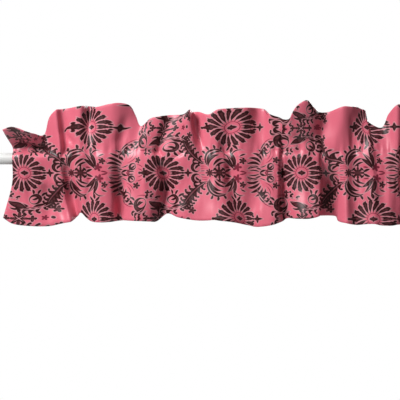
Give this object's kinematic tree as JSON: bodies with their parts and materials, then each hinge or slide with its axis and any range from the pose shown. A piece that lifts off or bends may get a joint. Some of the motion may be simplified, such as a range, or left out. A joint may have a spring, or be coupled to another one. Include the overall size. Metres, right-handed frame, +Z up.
{
  "type": "window valance on a curtain rod",
  "caption": "Ruffled rod-pocket window valance in printed satin, gathered on a plain round curtain rod.",
  "frame": {"origin": "middle of the curtain rod's axis", "axes": "+X along the rod to the right as seen from the room, -Y towards the room, +Z up"},
  "size_m": [1.22, 0.0861, 0.305],
  "materials": {
    "cloth": "satin",
    "rod": "satin"
  },
  "bodies": {
    "root": {"valance_cloth": "cloth", "rod": "rod"}
  },
  "joints": []
}
